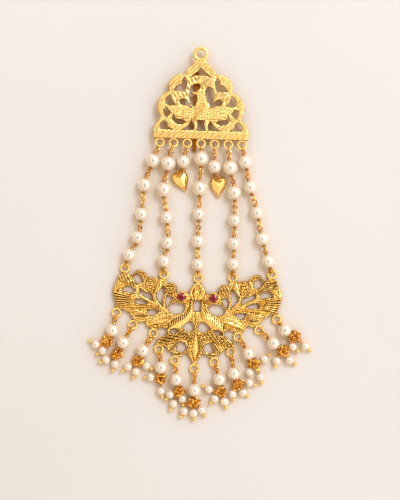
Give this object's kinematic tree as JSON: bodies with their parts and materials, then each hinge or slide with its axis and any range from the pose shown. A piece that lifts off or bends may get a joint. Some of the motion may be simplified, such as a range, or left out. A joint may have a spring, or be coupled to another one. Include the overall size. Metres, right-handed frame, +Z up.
{
  "type": "passa side head ornament",
  "caption": "Pierced gold side head ornament with strands of pearls joining two filigree plates and a fringe of pearl drops.",
  "frame": {"origin": "middle of the footprint, on the surface that the ornament lies on", "axes": "+Y along the ornament towards the hanger ring, +X to the right, +Z up out of its face"},
  "size_m": [0.0896, 0.1498, 0.0059],
  "materials": {
    "gold": "satin to polished gold plate",
    "fine_gold": "polished deep gold plate; the small pearls of the clusters are in these nodes",
    "pearl": "pearl lustre",
    "ruby": "faceted and polished"
  },
  "bodies": {
    "root": {"drop_pearl_1": "pearl", "drop_pearl_10": "pearl", "drop_pearl_11": "pearl", "drop_pearl_2": "pearl", "drop_pearl_3": "pearl", "drop_pearl_4": "pearl", "drop_pearl_5": "pearl", "drop_pearl_6": "pearl", "drop_pearl_7": "pearl", "drop_pearl_8": "pearl", "drop_pearl_9": "pearl", "heart_drop_left": "gold", "heart_drop_right": "gold", "heart_pearl_left": "pearl", "heart_pearl_right": "pearl", "lower_plate": "gold", "pearl_cluster_1": "fine_gold", "pearl_cluster_10": "fine_gold", "pearl_cluster_11": "fine_gold", "pearl_cluster_2": "fine_gold", "pearl_cluster_3": "fine_gold", "pearl_cluster_4": "fine_gold", "pearl_cluster_5": "fine_gold", "pearl_cluster_6": "fine_gold", "pearl_cluster_7": "fine_gold", "pearl_cluster_8": "fine_gold", "pearl_cluster_9": "fine_gold", "ruby_left": "ruby", "ruby_right": "ruby", "strand_1_chain": "fine_gold", "strand_1_pearl_1": "pearl", "strand_1_pearl_2": "pearl", "strand_1_pearl_3": "pearl", "strand_1_pearl_4": "pearl", "strand_1_pearl_5": "pearl", "strand_2_chain": "fine_gold", "strand_2_pearl_1": "pearl", "strand_2_pearl_2": "pearl", "strand_2_pearl_3": "pearl", "strand_2_pearl_4": "pearl", "strand_2_pearl_5": "pearl", "strand_3_chain": "fine_gold", "strand_3_pearl_1": "pearl", "strand_3_pearl_2": "pearl", "strand_3_pearl_3": "pearl", "strand_3_pearl_4": "pearl", "strand_3_pearl_5": "pearl", "strand_4_chain": "fine_gold", "strand_4_pearl_1": "pearl", "strand_4_pearl_2": "pearl", "strand_4_pearl_3": "pearl", "strand_4_pearl_4": "pearl", "strand_4_pearl_5": "pearl", "strand_5_chain": "fine_gold", "strand_5_pearl_1": "pearl", "strand_5_pearl_2": "pearl", "strand_5_pearl_3": "pearl", "strand_5_pearl_4": "pearl", "strand_5_pearl_5": "pearl", "upper_plate": "gold"}
  },
  "joints": []
}
